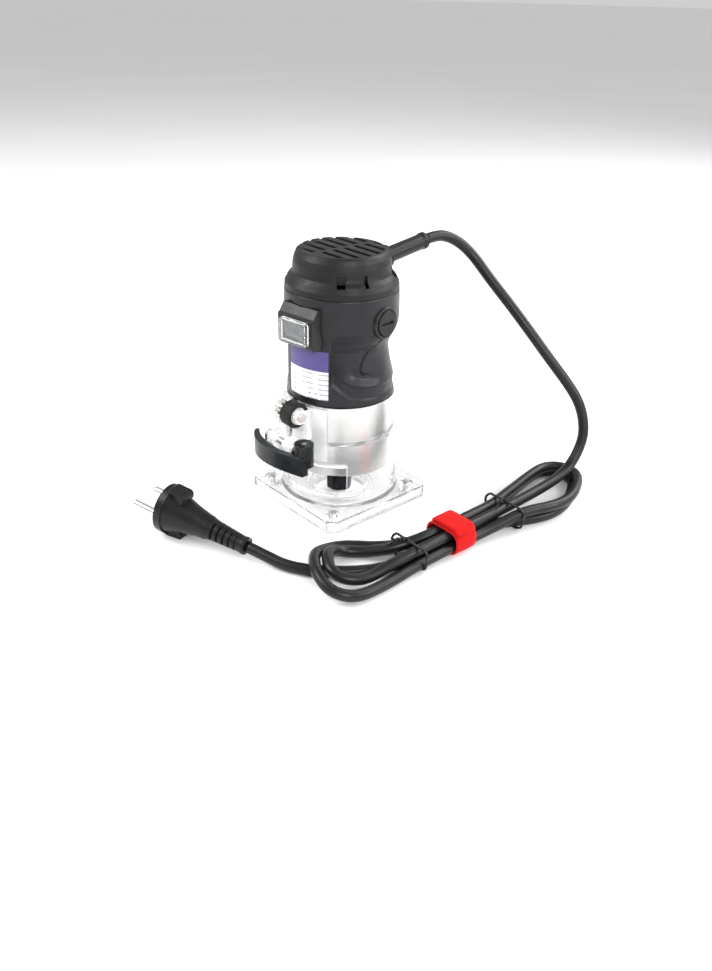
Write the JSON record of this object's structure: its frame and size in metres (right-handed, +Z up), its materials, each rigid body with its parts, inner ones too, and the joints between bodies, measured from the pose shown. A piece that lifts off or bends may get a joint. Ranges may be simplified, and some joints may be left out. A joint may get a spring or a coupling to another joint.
{
  "type": "trim router",
  "caption": "Handheld trim router with a clear square base, cam clamp lever, rack depth wheel, rocker switch and a tied mains cord with its plug.",
  "frame": {"origin": "centre of the bit opening on the sole's lower face, which stands on the surface", "axes": "+Z up along the spindle, -Y towards the switch, the depth wheel and the clamp lever, +Y towards the cord's exit, +X to the side of the clamp lever's cam"},
  "size_m": [0.1738, 0.272, 0.1663],
  "materials": {
    "clear_plastic": "clear polycarbonate",
    "clear_boot": "clear flexible dust boot",
    "collar_aluminium": "satin turned",
    "zinc_steel": "zinc plated",
    "bearing_steel": "ground",
    "black_steel": "black oxide",
    "rack_steel": "blackened",
    "lever_plastic": "glass-filled, satin",
    "wheel_rubber": "grooved",
    "housing_plastic": "fine moulded texture",
    "switch_plastic": "moulded",
    "rocker_plastic": "polished",
    "label_film": "printed film, plain",
    "core_steel": "laminated",
    "winding_copper": "varnished copper",
    "carbon": "carbon block",
    "spring_steel": "drawn wire",
    "cord_rubber": "matt sheath",
    "pin_metal": "plated",
    "strap_fabric": "hook and loop",
    "tie_plastic": "coated wire"
  },
  "bodies": {
    "base": {"sub_base_plate": "clear_plastic", "base_moulding": "clear_plastic", "sub_base_screws": "zinc_steel", "clamp_bolt": "zinc_steel", "clamp_nut": "zinc_steel", "clamp_washers": "zinc_steel", "lever_pin": "zinc_steel", "wheel_screw": "zinc_steel", "cord_hank": "cord_rubber", "cord_tail": "cord_rubber", "cable_strap": "strap_fabric", "twist_ties": "tie_plastic", "plug_body": "cord_rubber", "plug_pins": "pin_metal"},
    "motor": {"motor_collar": "collar_aluminium", "gear_rack": "rack_steel", "lower_bearing": "bearing_steel", "bearing_retainer": "zinc_steel", "motor_housing": "housing_plastic", "stator_core": "core_steel", "field_coils": "winding_copper", "brush_holders": "switch_plastic", "carbon_brushes": "carbon", "brush_springs": "spring_steel", "brush_caps": "housing_plastic", "label_plate": "label_film", "switch_bezel": "switch_plastic", "switch_boot": "clear_boot", "switch_body": "switch_plastic", "cover_screws": "zinc_steel", "upper_bearing": "bearing_steel", "top_cover": "housing_plastic", "cord_clamp": "switch_plastic", "cord_guard": "cord_rubber", "cord_lead": "cord_rubber"},
    "spindle": {"armature_shaft": "bearing_steel", "armature_core": "core_steel", "armature_windings": "winding_copper", "commutator": "winding_copper", "cooling_fan": "switch_plastic", "collet": "bearing_steel", "collet_nut": "black_steel"},
    "rocker": {"switch_rocker": "rocker_plastic"},
    "wheel": {"depth_pinion": "zinc_steel", "depth_wheel_tyre": "wheel_rubber"},
    "lever": {"cam_lever": "lever_plastic"}
  },
  "joints": [
    {"name": "depth_slide", "type": "slide", "parent": "base", "child": "motor", "axis": [0, 0, 1], "range_m": [-0.002, 0.014], "deforming": ["cord_lead"]},
    {"name": "depth_wheel", "type": "hinge", "parent": "base", "child": "wheel", "pos_m": [0, -0.0429, 0.0714], "axis": [1, 0, 0], "range_deg": [-20, 135]},
    {"name": "clamp_lever", "type": "hinge", "parent": "base", "child": "lever", "pos_m": [0.0186, -0.0446, 0.0493], "axis": [0, 0, 1], "range_deg": [0, 100]},
    {"name": "spindle_spin", "type": "hinge", "parent": "motor", "child": "spindle", "pos_m": [0, 0, 0.08], "axis": [0, 0, 1], "continuous": true},
    {"name": "switch_rock", "type": "hinge", "parent": "motor", "child": "rocker", "pos_m": [0.00458, -0.03732, 0.1228], "axis": [0.9925, 0.1219, 0], "range_deg": [-14, 0]}
  ],
  "couplings": [
    {"joint": "depth_wheel", "follows": "depth_slide", "rad_per_m": 166.67}
  ]
}
